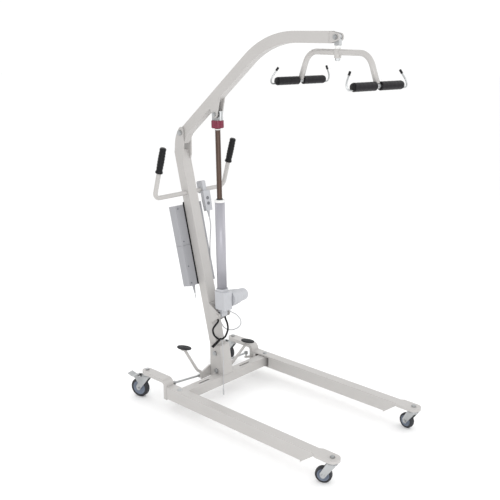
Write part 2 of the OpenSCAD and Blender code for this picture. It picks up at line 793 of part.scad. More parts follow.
// Top of the rod: neck inside the ring, and an eye block slotted for the boom's pin
module rod_head() color(zinc) translate(beam_at) on_actuator() difference() {
    union() {
        translate([0, 0, ring_low + 2]) cylinder(d = 34, h = ring_high - ring_low);
        translate([0, 0, ring_high + fit]) linear_extrude(act_len - ring_high + 15.5) rounded(22, 62, 8);
    }
    translate([0, 0, act_len]) cube([60, 53, 20.6], center = true);
}

// ---- control box ----

box_low = 537;
box_top = 956;
battery_low = 750;
box_w = 180;
plate_w = 74;
plate_over = 14;
box_depth = 60;
box_face = mast_d / 2 + 3;

module box_plate() color(black) translate(beam_at) on_mast()
    translate([0, mast_d / 2 + 1.5, (box_low + box_top + plate_over) / 2]) rotate([90, 0, 0])
        linear_extrude(3, center = true) rounded(plate_w, box_top - box_low + plate_over, 6);

// Housing outline seen from the top, flat toward the mast
module box_outline() difference() {
    translate([0, box_face + box_depth / 2 - 10]) rounded(box_w, box_depth + 20, 15);
    translate([-box_w, box_face - 40]) square([2 * box_w, 40]);
}

gland_x = [46, 66];
gland_y = 58;
gland_len = 24;

module control_box() color(pale) translate(beam_at) on_mast() difference() {
    union() {
        translate([0, 0, box_low]) linear_extrude(battery_low - box_low - 1) box_outline();
        for (x = gland_x) translate([x, gland_y, box_low - gland_len]) cylinder(d1 = 9, d2 = 15, h = gland_len);
        translate([-40, gland_y, box_low - 2 * gland_len]) cylinder(d1 = 6, d2 = 16, h = 2 * gland_len);
        translate([-40, gland_y, box_low - 2 * gland_len - 28]) cylinder(d = 3.6, h = 30);
    }
    translate([0, box_face + box_depth + 2, stop_t]) rotate([90, 0, 0]) cylinder(d = 16 + 2 * fit, h = 22);
}

module battery_pack() color(pale) translate(beam_at) on_mast() {
    translate([0, 0, battery_low]) linear_extrude(box_top - battery_low) box_outline();
    translate([-40, box_face + box_depth - 1, box_top - 30]) cube([80, 8, 12]);
}

stop_t = 648;

module emergency_stop() color("#b3202a") translate(beam_at) on_mast()
    translate([0, box_face + box_depth, stop_t]) rotate([-90, 0, 0]) {
        translate([0, 0, -10]) cylinder(d = 16, h = 18);
        translate([0, 0, 7]) rotate_extrude() intersection() {
            square([15, 11]);
            translate([0, 3]) rounded(30, 16, 5);
        }
    }

// ---- hand control ----

hand_x = 84;
hand_tilt = 13;
hand_y = -21;
hand_low = -112;
hand_face = hand_y - 11;

// Frame of the hand control: origin on the push bar's axis
module on_hand() translate([hand_x, handle_y, handle_z]) rotate([-hand_tilt, 0, 0]) children();

module hand_body() rotate([90, 0, 0]) linear_extrude(22, center = true) {
    polygon([[-17, 8], [-20, 0], [20, 0], [17, 8]]);
    polygon([[-20, 0], [20, 0], [24, 60], [24, 98], [-24, 98], [-24, 60]]);
    translate([-18, 90]) square([36, 16]);
    for (s = [-1, 1]) translate([s * 16, 98]) circle(r = 8);
}

module hand_control() color(pale) translate(beam_at) on_hand() difference() {
    union() {
        translate([0, hand_y, hand_low]) hand_body();
        rotate([90, 0, 90]) linear_extrude(24, center = true) translate([-1, 15]) rounded(42, 64, 9);
        translate([0, hand_y, hand_low - 34]) cylinder(d1 = 8, d2 = 15, h = 35);
    }
    rotate([0, 90, 0]) cylinder(d = handle_d + fit, h = 60, center = true);
    translate([0, 0, -25]) cube([60, handle_d + fit, 50], center = true);
    for (z = button_z) translate([0, hand_face - 1, z]) rotate([-90, 0, 0])
        cylinder(d = button_d + 2 * fit, h = 6);
}

button_d = 17;
button_z = [-46, -74];

module button(z) color(dark) translate(beam_at) on_hand() translate([0, hand_face, z]) rotate([-90, 0, 0])
    translate([0, 0, -2]) cylinder(d = button_d, h = 5);

module up_button() button(button_z[0]);
module down_button() button(button_z[1]);

// ---- cords ----

// Point and direction on a smooth curve through the route's points
function spline(p, i, t) = let (
    a = p[max(i - 1, 0)], b = p[i], c = p[i + 1], d = p[min(i + 2, len(p) - 1)]
) 0.5 * ((2 * b) + (c - a) * t + (2 * a - 5 * b + 4 * c - d) * t * t + (3 * b - a - 3 * c + d) * t * t * t);

function swept(p, steps) = concat(
    [for (i = [0:len(p) - 2], k = [0:steps - 1]) spline(p, i, k / steps)], [p[len(p) - 1]]
);

// Cord along a route of hand-set points
module cord(p, d, steps, aside) tube_along(swept(p, steps), d, 8, aside);

handset_route = [
    [84, 184.5, 907.5], [84, 178, 880], [81, 173, 850], [76, 175, 765], [68, 165, 655], [60, 144, 578],
    [54, 134, 535], [49, 137, 505], [46, 150, 490], [46, 166, 503], [46, 177, 530], [46, 178.3, 542.2]
];
motor_route = [
    [22, -14, 466.6], [27, -17, 452], [50, -15, 436], [80, -12, 416], [100, -22, 385], [103, -18, 355],
    [94, 0, 333], [75, 28, 322], [60, 60, 332], [62, 95, 368], [65, 130, 420], [66, 158, 475], [66, 174, 520],
    [66, 178.3, 542.2]
];
lead_route = [
    [-17.7, 6.9, 297.1], [-23, -5, 298], [-32, -17, 295], [-39, -25, 283], [-41, -30, 255], [-41, -33, 205],
    [-42, -33, 130], [-42, -33, 46]
];

module handset_cord() color(pale) translate(beam_at) cord(handset_route, 6, 2, [1, 0, 0]);
module motor_cord() color("#dcdcda") translate(beam_at) cord(motor_route, 6, 2, [1, 0, 0]);
module hanging_lead() color("#c4c4c0") translate(beam_at) cord(lead_route, 4, 1, [1, 0, 0]);

module lead_plug() color("#b8b8b4") translate(beam_at + [-42, -33, 10]) {
    cylinder(d = 7, h = 24);
    translate([0, 0, 24]) cylinder(d1 = 7, d2 = 4.5, h = 12);
    translate([0, 0, -2]) cylinder(d = 4, h = 3);
}

// Black cable hung in a loop from the actuator's lower pin, its thick tail over the socket's corner
loop_route = [
    [-27, 9, 448.4], [-27, 17.8, 444.8], [-27, 21.4, 436], [-27.6, 18, 412], [-29.5, 14, 401], [-43, 18, 386],
    [-54, 26, 366], [-56, 25.5, 348], [-50, 23, 329], [-40, 20, 316], [-26, 17, 303], [-10, 14, 297.5],
    [6, 10, 301], [20, 8, 312], [34, 7, 342], [34, 10, 372], [27, 16, 400], [25, 20, 420],
    [27, 21.4, 436], [27, 17.8, 444.8], [27, 9, 448.4]
];

module cable_loop() color(black) translate(beam_at) {
    tube_along(loop_route, 10, 8, [0, 1, 0.2]);
    bar([-11, 12, 303], [-57, 32, 262], 13);
}

cross_beam();
mast_socket();
base_bolts();
mast();
handlebar();
left_grip();
right_grip();
left_leg();
right_leg();
left_gooseneck();
right_gooseneck();
left_caster_stems();
right_caster_stems();
front_left_fork();
front_right_fork();
rear_left_fork();
rear_right_fork();
front_left_hub();
front_right_hub();
rear_left_hub();
rear_right_hub();
front_left_tyre();
front_right_tyre();
rear_left_tyre();
rear_right_tyre();
rear_left_brake();
rear_right_brake();
pedal_rocker();
pedal_pads();
left_tie_rod();
right_tie_rod();
boom();
boom_clevis();
boom_bracket();
boom_bolts();
boom_pivot_bolt();
hanger_block();
swivel_collar();
spreader_frame();
sling_bars();
bar_foams();
hook_tips();
actuator_housing();
actuator_motor();
actuator_tube();
piston_rod();
release_ring();
rod_head();
box_plate();
control_box();
battery_pack();
emergency_stop();
hand_control();
up_button();
down_button();
handset_cord();
motor_cord();
hanging_lead();
lead_plug();
cable_loop();
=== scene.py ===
"""Looks of the floor-type patient lift hoist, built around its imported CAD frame."""

import json
import math

import bmesh
import bpy
from mathutils import Matrix, Vector


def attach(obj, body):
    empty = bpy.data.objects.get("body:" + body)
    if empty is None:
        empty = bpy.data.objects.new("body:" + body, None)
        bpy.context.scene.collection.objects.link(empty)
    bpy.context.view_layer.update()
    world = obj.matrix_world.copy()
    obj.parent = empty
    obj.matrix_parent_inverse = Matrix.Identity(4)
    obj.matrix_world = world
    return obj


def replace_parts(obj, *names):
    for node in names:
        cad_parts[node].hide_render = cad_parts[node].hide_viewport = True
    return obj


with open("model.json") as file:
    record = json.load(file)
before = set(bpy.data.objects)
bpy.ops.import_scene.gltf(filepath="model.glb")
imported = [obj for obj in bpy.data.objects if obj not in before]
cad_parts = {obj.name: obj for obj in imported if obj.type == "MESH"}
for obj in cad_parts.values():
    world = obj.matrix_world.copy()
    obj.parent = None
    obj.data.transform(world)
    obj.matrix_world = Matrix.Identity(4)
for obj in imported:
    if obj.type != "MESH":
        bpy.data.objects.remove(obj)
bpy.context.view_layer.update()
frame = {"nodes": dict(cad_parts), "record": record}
NODES = frame["nodes"]
MM = 0.001
BEAM = Vector((6.8, 312.2, 0.0)) * MM      # middle of the cross beam on the floor
LEAN = math.radians(13.8)                   # rearward lean of the mast
FOOT_PIN = (0, 9, 436)                      # actuator's lower pin
TILT = math.atan2(33.5 - 9, 1457 - 436)     # actuator's lean from its lower pin to the boom pin
HUB_Y = -680                                # swivel axis of the spreader
SPREADER_TURN = Matrix.Rotation(math.radians(-11.3), 3, "Z")
TUBE_Z = 1761.0                             # middle of the spreader tube
BAR_Z = 1636.0                              # axis of the sling bars
BAR_REACH = 240.0                           # from the swivel axis to each sling bar


def at(x, y, z):
    """A point given in millimetres from the cross beam's middle."""
    return BEAM + Vector((x, y, z)) * MM


# ---- camera, floor and light ----

def add_camera():
    data = bpy.data.cameras.new("camera")
    data.sensor_width = 36.0
    data.lens = 57.05
    data.clip_end = 50.0
    cam = bpy.data.objects.new("camera", data)
    bpy.context.scene.collection.objects.link(cam)
    cam.location = at(-2728.4, -2718.9, 1851.0)
    forward = Vector((0.7056, 0.6559, -0.2679))
    cam.rotation_euler = forward.to_track_quat("-Z", "Y").to_euler()
    bpy.context.scene.camera = cam


def add_area(name, place, size, power, aim):
    data = bpy.data.lights.new(name, "AREA")
    data.shape = "SQUARE"
    data.size = size
    data.energy = power
    lamp = bpy.data.objects.new(name, data)
    bpy.context.scene.collection.objects.link(lamp)
    lamp.location = place
    lamp.rotation_euler = (Vector(aim) - Vector(place)).to_track_quat("-Z", "Y").to_euler()


def add_studio():
    world = bpy.data.worlds.new("studio")
    bpy.context.scene.world = world
    world.use_nodes = True
    sky = world.node_tree.nodes["Background"]
    sky.inputs["Color"].default_value = (1.0, 1.0, 1.0, 1.0)
    sky.inputs["Strength"].default_value = 1.05
    add_area("key", (-2.5, -2.7, 1.5), 2.2, 42, (0, -0.2, 0.3))
    add_area("fill", (3.0, -1.6, 2.6), 3.0, 22, (0, 0, 0.9))
    add_area("back", (0.5, 3.2, 3.0), 2.6, 26, (0, 0, 0.9))
    mesh = bpy.data.meshes.new("floor")
    half = 30.0
    corners = [(-half, -half, 0), (half, -half, 0), (half, half, 0), (-half, half, 0)]
    mesh.from_pydata(corners, [], [(0, 1, 2, 3)])
    floor = bpy.data.objects.new("floor", mesh)
    bpy.context.scene.collection.objects.link(floor)
    floor.data.materials.append(plain("floor_white", (0.965, 0.965, 0.965), 0.85))


# ---- materials ----

def shader(name):
    mat = bpy.data.materials.new(name)
    mat.use_nodes = True
    tree = mat.node_tree
    return mat, tree, tree.nodes["Principled BSDF"]


def plain(name, colour, roughness):
    mat, tree, bsdf = shader(name)
    bsdf.inputs["Base Color"].default_value = (*colour, 1.0)
    bsdf.inputs["Roughness"].default_value = roughness
    return mat


def noise(tree, scale, detail=3.0, stretch=None):
    coords = tree.nodes.new("ShaderNodeTexCoord")
    tex = tree.nodes.new("ShaderNodeTexNoise")
    tex.inputs["Scale"].default_value = scale
    tex.inputs["Detail"].default_value = detail
    if stretch:
        mapping = tree.nodes.new("ShaderNodeMapping")
        mapping.inputs["Scale"].default_value = stretch
        tree.links.new(coords.outputs["Object"], mapping.inputs["Vector"])
        tree.links.new(mapping.outputs["Vector"], tex.inputs["Vector"])
    else:
        tree.links.new(coords.outputs["Object"], tex.inputs["Vector"])
    return tex.outputs["Fac"]


def ramp(tree, value, low, high, start=0.3, end=0.7):
    node = tree.nodes.new("ShaderNodeValToRGB")
    node.color_ramp.elements[0].position = start
    node.color_ramp.elements[1].position = end
    node.color_ramp.elements[0].color = (*low, 1.0)
    node.color_ramp.elements[1].color = (*high, 1.0)
    tree.links.new(value, node.inputs["Fac"])
    return node.outputs["Color"]


def shade(colour, factor):
    return tuple(min(1.0, c * factor) for c in colour)


def finish_material(
    name, colour, roughness, metallic=0.0, grain=900.0, bump=0.12, depth=0.0002,
    mottle=0.05, stretch=None, round_edge=0.0012, coat=0.0, sheen=0.0,
    specular=0.5
):
    """One finish: mottled colour, uneven gloss, fine grain bump and rounded edges."""
    mat, tree, bsdf = shader(name)
    links = tree.links
    base = ramp(tree, noise(tree, 9.0, 4.0), shade(colour, 1 - mottle), shade(colour, 1 + mottle))
    links.new(base, bsdf.inputs["Base Color"])
    smoother, rougher = max(0.02, roughness - 0.06), roughness + 0.06
    gloss = ramp(tree, noise(tree, 35.0, 3.0), (smoother,) * 3, (rougher,) * 3)
    links.new(gloss, bsdf.inputs["Roughness"])
    bsdf.inputs["Metallic"].default_value = metallic
    bsdf.inputs["Coat Weight"].default_value = coat
    bsdf.inputs["Coat Roughness"].default_value = 0.15
    bsdf.inputs["Sheen Weight"].default_value = sheen
    bsdf.inputs["Specular IOR Level"].default_value = specular
    edge_node = tree.nodes.new("ShaderNodeBevel")
    edge_node.samples = 4
    edge_node.inputs["Radius"].default_value = round_edge
    relief = tree.nodes.new("ShaderNodeBump")
    relief.inputs["Strength"].default_value = bump
    relief.inputs["Distance"].default_value = depth
    links.new(noise(tree, grain, 2.0, stretch), relief.inputs["Height"])
    links.new(edge_node.outputs["Normal"], relief.inputs["Normal"])
    links.new(relief.outputs["Normal"], bsdf.inputs["Normal"])
    return mat


def make_materials():
    m = {}
    m["frame_paint"] = finish_material(
        "powder_coat", (0.452, 0.438, 0.425), 0.38, grain=420, bump=0.25, depth=0.0003,
        mottle=0.015, coat=0.25)
    m["zinc"] = finish_material(
        "zinc_plate", (0.43, 0.44, 0.445), 0.34, metallic=1.0, grain=240, bump=0.5,
        mottle=0.30, round_edge=0.0008)
    m["black_plastic"] = finish_material(
        "black_plastic", (0.005, 0.005, 0.006), 0.38, grain=1400, bump=0.3, mottle=0.15,
        specular=0.22)
    m["black_foam"] = finish_material(
        "black_foam", (0.005, 0.004, 0.006), 0.45, grain=1100, bump=0.5, depth=0.0004,
        mottle=0.25, specular=0.28)
    m["pale_plastic"] = finish_material(
        "pale_plastic", (0.455, 0.462, 0.485), 0.42, grain=1300, bump=0.15, mottle=0.02)
    # Darker copy of pale_plastic: the same plastic, with painted shade for the shaded sides of the control box
    # and battery.
    m["box_plastic_painted_shade"] = finish_material(
        "box_plastic_painted_shade", (0.325, 0.327, 0.345), 0.42, grain=1300, bump=0.15, mottle=0.02)
    m["dark_plastic"] = finish_material(
        "dark_plastic", (0.16, 0.165, 0.18), 0.5, grain=1300, bump=0.25, mottle=0.1)
    m["hub_plastic"] = finish_material(
        "hub_plastic", (0.13, 0.155, 0.205), 0.4, grain=1300, bump=0.15, mottle=0.06)
    m["tyre"] = finish_material(
        "tyre_rubber", (0.022, 0.023, 0.027), 0.6, grain=900, bump=0.35, mottle=0.22,
        specular=0.35)
    m["pad_rubber"] = finish_material(
        "pad_rubber", (0.022, 0.023, 0.025), 0.7, grain=800, bump=0.5, mottle=0.2,
        specular=0.3)
    m["tube_aluminium"] = finish_material(
        "tube_aluminium", (0.385, 0.38, 0.415), 0.34, metallic=0.25, grain=260, bump=0.1,
        mottle=0.03, stretch=(6, 6, 0.4))
    m["rod_bronze"] = finish_material(
        "rod_bronze", (0.080, 0.050, 0.038), 0.34, metallic=0.5, grain=300, bump=0.08,
        mottle=0.10, stretch=(4, 4, 0.5))
    m["ring_red"] = finish_material(
        "ring_red", (0.175, 0.012, 0.038), 0.38, grain=1200, bump=0.2, mottle=0.08)
    m["stop_red"] = finish_material(
        "stop_red", (0.50, 0.02, 0.025), 0.3, grain=1200, bump=0.1, mottle=0.04, coat=0.3)
    m["white_plastic"] = finish_material(
        "white_plastic", (0.74, 0.74, 0.73), 0.35, grain=1200, bump=0.1, mottle=0.02)
    m["cord_grey"] = finish_material(
        "cord_grey", (0.46, 0.465, 0.48), 0.5, grain=1200, bump=0.2, mottle=0.04)
    m["cord_black"] = finish_material(
        "cord_black", (0.006, 0.006, 0.007), 0.5, grain=1200, bump=0.25, mottle=0.15,
        specular=0.25)
    m["strap_black"] = finish_material(
        "strap_black", (0.008, 0.008, 0.009), 0.8, grain=2200, bump=0.9, depth=0.0005,
        mottle=0.2, specular=0.25)
    m["weld"] = finish_material(
        "weld_paint", (0.43, 0.418, 0.408), 0.45, grain=300, bump=0.6, depth=0.0006, mottle=0.04)
    m["green_led"] = finish_material("green_led", (0.05, 0.42, 0.10), 0.25, mottle=0.05)
    return m


def dress_cad(m):
    """Every carried CAD node gets the finish of its material slot."""
    slots = {s["node"]: s["material_slot"] for s in frame["record"]["subparts"]}
    # The control box and battery pack get the darker copy of pale_plastic, whose darkness is painted shade.
    slots.update({node: "box_plastic_painted_shade" for node in ("control_box", "battery_pack")})
    for name, obj in NODES.items():
        obj.data.materials.clear()
        obj.data.materials.append(m[slots[name]])


# ---- mesh tools ----

def keep(name, mesh, material, body):
    """Makes the mesh a piece that rides its body."""
    obj = bpy.data.objects.new(name, mesh)
    bpy.context.scene.collection.objects.link(obj)
    mesh.materials.append(material)
    mesh.polygons.foreach_set("use_smooth", [True] * len(mesh.polygons))
    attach(obj, body)
    return obj


def turned(profile, sides=64):
    """Closed mesh made by turning (radius, height) points about local Z."""
    mesh = bpy.data.meshes.new("turned")
    bm = bmesh.new()
    rings = []
    for r, z in profile:
        if r < 1e-6:
            rings.append([bm.verts.new((0, 0, z))])
        else:
            rings.append([
                bm.verts.new((r * math.cos(turn), r * math.sin(turn), z))
                for turn in (2 * math.pi * k / sides for k in range(sides))
            ])
    for low, high in zip(rings, rings[1:]):
        for k in range(sides):
            n = (k + 1) % sides
            if len(low) == 1:
                bm.faces.new((low[0], high[n], high[k]))
            elif len(high) == 1:
                bm.faces.new((low[k], low[n], high[0]))
            else:
                bm.faces.new((low[k], low[n], high[n], high[k]))
    if len(rings[0]) > 1 and len(rings[-1]) > 1 and profile[0] == profile[-1]:
        bmesh.ops.remove_doubles(bm, verts=bm.verts, dist=1e-6)
    bmesh.ops.recalc_face_normals(bm, faces=bm.faces)
    bm.to_mesh(mesh)
    bm.free()
    return mesh


def rounded_profile(points, radius, steps=4):
    """The same outline with each inner corner replaced by a short arc-like run."""
    out = [points[0]]
    for a, b, c in zip(points, points[1:], points[2:]):
        va, vc = Vector(a) - Vector(b), Vector(c) - Vector(b)
        cut = min(radius, va.length * 0.45, vc.length * 0.45)
        start, end = Vector(b) + va.normalized() * cut, Vector(b) + vc.normalized() * cut
        for k in range(steps + 1):
            t = k / steps
            out.append(tuple(start * (1 - t) ** 2 + Vector(b) * 2 * t * (1 - t) + end * t ** 2))
    out.append(points[-1])
    return out


def ring_section(inner, outer, low, high):
    """Closed square-cornered outline of a plain ring."""
    return [(inner, low), (outer, low), (outer, high), (inner, high), (inner, low)]


def point_along(mesh, origin, axis, spin=0.0):
    """Moves a mesh made about local Z so that it stands at origin along axis."""
    turn = Vector(axis).to_track_quat("Z", "Y").to_matrix().to_4x4()
    mesh.transform(Matrix.Translation(origin) @ turn @ Matrix.Rotation(spin, 4, "Z"))
    return mesh


def catmull(points, steps):
    """Points on the smooth curve through the route's points."""
    out = []
    last = len(points) - 1
    for i in range(last):
        a, b, c, d = points[max(i - 1, 0)], points[i], points[i + 1], points[min(i + 2, last)]
        for k in range(steps):
            t = k / steps
            out.append(0.5 * ((2 * b) + (c - a) * t + (2 * a - 5 * b + 4 * c - d) * t * t
                              + (3 * b - a - 3 * c + d) * t ** 3))
    out.append(points[-1])
    return out


def tube(path, radius, sides=20, closed_ends=True):
    """Round tube mesh along a list of points, rings carried without twist."""
    mesh = bpy.data.meshes.new("tube")
    bm = bmesh.new()
    n = len(path)
    rings = []
    side = None
    for i, p in enumerate(path):
        tangent = (path[min(i + 1, n - 1)] - path[max(i - 1, 0)]).normalized()
        if side is None:
            side = tangent.orthogonal().normalized()
        side = (side - tangent * side.dot(tangent)).normalized()
        other = tangent.cross(side)
        r = radius(i / (n - 1)) if callable(radius) else radius
        rings.append([
            bm.verts.new(p + r * (math.cos(2 * math.pi * k / sides) * side
                                  + math.sin(2 * math.pi * k / sides) * other))
            for k in range(sides)
        ])
    for low, high in zip(rings, rings[1:]):
        for k in range(sides):
            bm.faces.new((low[k], low[(k + 1) % sides], high[(k + 1) % sides], high[k]))
    if closed_ends:
        bm.faces.new(reversed(rings[0]))
        bm.faces.new(rings[-1])
    bmesh.ops.recalc_face_normals(bm, faces=bm.faces)
    bm.to_mesh(mesh)
    bm.free()
    return mesh


def joined(meshes):
    """One mesh holding all the given meshes."""
    bm = bmesh.new()
    for mesh in meshes:
        bm.from_mesh(mesh)
    out = bpy.data.meshes.new("joined")
    bm.to_mesh(out)
    bm.free()
    return out


# ---- cords ----

HANDSET_ROUTE = [
    (84, 184.5, 907.5), (84, 178, 880), (81, 173, 850), (76, 175, 765), (68, 165, 655), (60, 144, 578),
    (54, 134, 535), (49, 137, 505), (46, 150, 490), (46, 166, 503), (46, 177, 530), (46, 178.3, 542.2),
]
MOTOR_ROUTE = [
    (22, -14, 466.6), (27, -17, 452), (50, -15, 436), (80, -12, 416), (100, -22, 385), (103, -18, 355),
    (94, 0, 333), (75, 28, 322), (60, 60, 332), (62, 95, 368), (65, 130, 420), (66, 158, 475), (66, 174, 520),
    (66, 178.3, 542.2),
]
LEAD_ROUTE = [
    (-17.7, 6.9, 297.1), (-23, -5, 298), (-32, -17, 295), (-39, -25, 283), (-41, -30, 255), (-41, -33, 205),
    (-42, -33, 130), (-42, -33, 46),
]
LOOP_ROUTE = [
    (-27, 9, 448.4), (-27, 17.8, 444.8), (-27, 21.4, 436), (-27.6, 18, 412), (-29.5, 14, 401), (-43, 18, 386),
    (-54, 26, 366), (-56, 25.5, 348), (-50, 23, 329), (-40, 20, 316), (-26, 17, 303), (-10, 14, 297.5),
    (6, 10, 301), (20, 8, 312), (34, 7, 342), (34, 10, 372), (27, 16, 400), (25, 20, 420),
    (27, 21.4, 436), (27, 17.8, 444.8), (27, 9, 448.4),
]


def length_of(path):
    return sum((b - a).length for a, b in zip(path, path[1:]))


def add_cord(name, route, diameter, material):
    path = catmull([at(*p) for p in route], 8)
    obj = keep(name + "_run", tube(path, diameter / 2, 12), material, "base")
    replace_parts(obj, name)
    return obj


def add_cords(m):
    add_cord("handset_cord", HANDSET_ROUTE, 0.006, m["cord_grey"])
    add_cord("motor_cord", MOTOR_ROUTE, 0.006, m["cord_grey"])
    add_cord("hanging_lead", LEAD_ROUTE, 0.004, m["cord_grey"])


def add_cable_loop(m):
    """Black cable hanging in a loop from the actuator's lower pin, its tail in a woven strap."""
    path = catmull([at(*p) for p in LOOP_ROUTE], 5)
    tail = [at(-11, 12, 303), at(-34, 22, 282.5), at(-57, 32, 262)]
    wrap = keep("loop_strap", tube(catmull(tail, 10), lambda t: 0.0052 + 0.0024 * t, 24), m["strap_black"],
                "base")
    obj = keep("cable_loop_run", tube(path, 0.005, 16), m["cord_black"], "base")
    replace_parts(obj, "cable_loop")


# ---- pieces with finer shape than the CAD ----

def add_grips(m):
    """Ribbed sleeves on both ends of the push bar."""
    up = Vector((0, -math.sin(math.radians(16.5)), math.cos(math.radians(16.5))))
    for side, name in ((-1, "left_grip"), (1, "right_grip")):
        top = at(side * 240, 238, 1046) + up * (0.232 + 0.034 + 0.004)
        body = [(0.0116, -0.130), (0.0185, -0.130), (0.0188, -0.124), (0.0165, -0.121)]
        steps = 60
        for k in range(steps + 1):
            t = k / steps
            swell = 0.0155 + 0.0013 * math.sin(math.pi * t) + 0.0006 * math.cos(2 * math.pi * 7 * t)
            body.append((swell, -0.119 + t * 0.108))
        body += [(0.0163, -0.008), (0.0160, -0.004), (0.0135, -0.0008), (0.008, 0.0), (0.0, 0.0)]
        mesh = point_along(turned(body, 48), top, up)
        obj = keep(name + "_sleeve", mesh, m["black_plastic"], "base")
        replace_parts(obj, name)


def on_spreader(x, y, z):
    """A point given in millimetres in the turned spreader's frame, on its swivel axis."""
    return at(0, HUB_Y, 0) + SPREADER_TURN @ (Vector((x, y, z)) * MM)


def bar_ends():
    """Middle of the bar and outward direction, for each end of both sling bars."""
    along = SPREADER_TURN @ Vector((1, 0, 0))
    for s in (-1, 1):
        for e in (-1, 1):
            yield on_spreader(0, s * BAR_REACH, BAR_Z), along * e


def add_foams(m):
    """Foam sleeves on the sling bars."""
    r, inner, length, far_end = 0.0180, 0.0101, 0.118, 0.131
    steps = 26
    parts = []
    for centre, outward in bar_ends():
        outline = [(inner, 0.0), (r - 0.003, 0.0), (r - 0.0008, 0.0008), (r, 0.003)]
        for k in range(steps + 1):
            dimple = 0.0003 * math.sin(5 * math.pi * k / steps) ** 2
            outline.append((r - dimple, 0.004 + (length - 0.008) * k / steps))
        outline += [(r, length - 0.003), (r - 0.0008, length - 0.0008), (r - 0.003, length), (inner, length),
                    (inner, 0.0)]
        parts.append(point_along(turned(outline, 48), centre + outward * (far_end - length), outward))
    obj = keep("foam_sleeves", joined(parts), m["black_foam"], "spreader")
    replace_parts(obj, "bar_foams")


def add_bar_caps(m):
    """Black caps over the end discs of the sling bars."""
    cap = [(0.0, 0.1361), (0.0146, 0.1361), (0.0155, 0.1355), (0.0156, 0.1314), (0.01505, 0.1313),
           (0.01505, 0.1352), (0.0, 0.1352)]
    caps = [point_along(turned(cap, 64), centre, outward) for centre, outward in bar_ends()]
    keep("bar_caps", joined(caps), m["black_plastic"], "spreader")


def add_spreader_tube(m):
    """Bent spreader tube with its hub and the two welds between them."""
    radius, bend, knee, bend_steps = 0.0125, 80.0, 187.0, 14
    drop = math.atan2(TUBE_Z - BAR_Z, BAR_REACH - knee)
    tangent = bend * math.tan(drop / 2)
    half = [(y, TUBE_Z) for y in range(0, 121, 20)]
    for k in range(bend_steps + 1):
        a = drop * k / bend_steps
        half.append((knee - tangent + bend * math.sin(a), TUBE_Z - bend + bend * math.cos(a)))
    half.append((BAR_REACH - 9 * math.cos(drop), BAR_Z + 9 * math.sin(drop)))
    line = [(-y, z) for y, z in reversed(half[1:])] + half
    path = [on_spreader(0, y, z) for y, z in line]
    hub = rounded_profile([(0.00605, 1.737), (0.015, 1.737), (0.015, 1.774), (0.00605, 1.774)], 0.002)
    hub.append(hub[0])
    parts = [tube(path, radius, 48), point_along(turned(hub, 64), at(0, HUB_Y, 0), (0, 0, 1))]
    for s in (-1, 1):
        ring = [on_spreader(12.7 * math.cos(a), s * (14.5 + 0.8 * math.cos(2 * a)), TUBE_Z + 12.7 * math.sin(a))
                for a in [2 * math.pi * k / 48 for k in range(49)]]
        parts.append(tube(ring, 0.0016, 10, closed_ends=False))
    obj = keep("spreader_tube", joined(parts), m["frame_paint"], "spreader")
    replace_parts(obj, "spreader_frame")


def add_pads(m):
    """Ringed treads of the two pedals."""
    tilt = Matrix.Rotation(math.radians(12.3), 3, "Y")
    pivot = at(0, 0, 105)
    parts = []
    for s in (-1, 1):
        centre = pivot + tilt @ (Vector((s * 242, 82, 133.0)) * MM)
        outline = [(0.0, 0.0), (0.034, 0.0), (0.0362, 0.0015), (0.037, 0.004), (0.0366, 0.0068),
                   (0.0345, 0.0086)]
        steps = 36
        for k in range(1, steps):
            r = 0.0340 * (1 - k / steps)
            dome = 0.0004 * (1 - (r / 0.034) ** 2)
            outline.append((r, 0.0084 + dome - 0.0007 * (0.5 + 0.5 * math.cos(2 * math.pi * r / 0.0045))))
        outline.append((0.0, 0.0088))
        parts.append(point_along(turned(outline, 72), centre, tilt @ Vector((0, 0, 1))))
    obj = keep("pedal_treads", joined(parts), m["pad_rubber"], "rocker")
    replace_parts(obj, "pedal_pads")


# name, stem x, stem y, turn in degrees, wheel radius, wheel width, trail
CASTERS = (
    ("front_left", -318, -951, 24, 37.5, 26, 36), ("front_right", 318, -951, -8, 37.5, 26, 36),
    ("rear_left", -318, 247, 15, 50.0, 30, 47), ("rear_right", 318, 247, 10, 50.0, 30, 47),
)


def add_wheels(m):
    """Tyres and dished wheel centres of the four casters."""
    for name, x, y, turn, radius, width, trail in CASTERS:
        g = math.radians(turn)
        centre = at(x - trail * math.sin(g), y + trail * math.cos(g), radius)
        axle = Vector((math.cos(g), math.sin(g), 0))
        r, h = radius * MM, width / 2 * MM
        inner = r * 0.72
        tread = [(inner, -h + 0.001), (inner + 0.002, -h), (r - 0.006, -h), (r - 0.0028, -h + 0.0012),
                 (r - 0.0008, -h + 0.004), (r - 0.0001, -h * 0.45), (r, -h * 0.12), (r - 0.0005, -h * 0.06),
                 (r - 0.0005, h * 0.06), (r, h * 0.12), (r - 0.0001, h * 0.45), (r - 0.0008, h - 0.004),
                 (r - 0.0028, h - 0.0012), (r - 0.006, h), (inner + 0.002, h), (inner, h - 0.001),
                 (inner, -h + 0.001)]
        tyre = point_along(turned(tread, 96), centre, axle)
        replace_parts(keep(name + "_tread", tyre, m["tyre"], name + "_wheel"), name + "_tyre")
        disc = [(0.00405, -h - 0.001), (0.009, -h - 0.001), (0.0105, -h + 0.001), (0.012, -h + 0.005),
                (inner * 0.55, -h + 0.0062), (inner * 0.8, -h + 0.005), (inner * 0.88, -h + 0.0015),
                (inner * 0.94, -h + 0.0006), (inner, -h + 0.001)]
        disc = disc + [(p[0], -p[1]) for p in reversed(disc)]
        disc.append(disc[0])
        hub = point_along(turned(disc, 96), centre, axle)
        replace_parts(keep(name + "_core", hub, m["hub_plastic"], name + "_wheel"), name + "_hub")


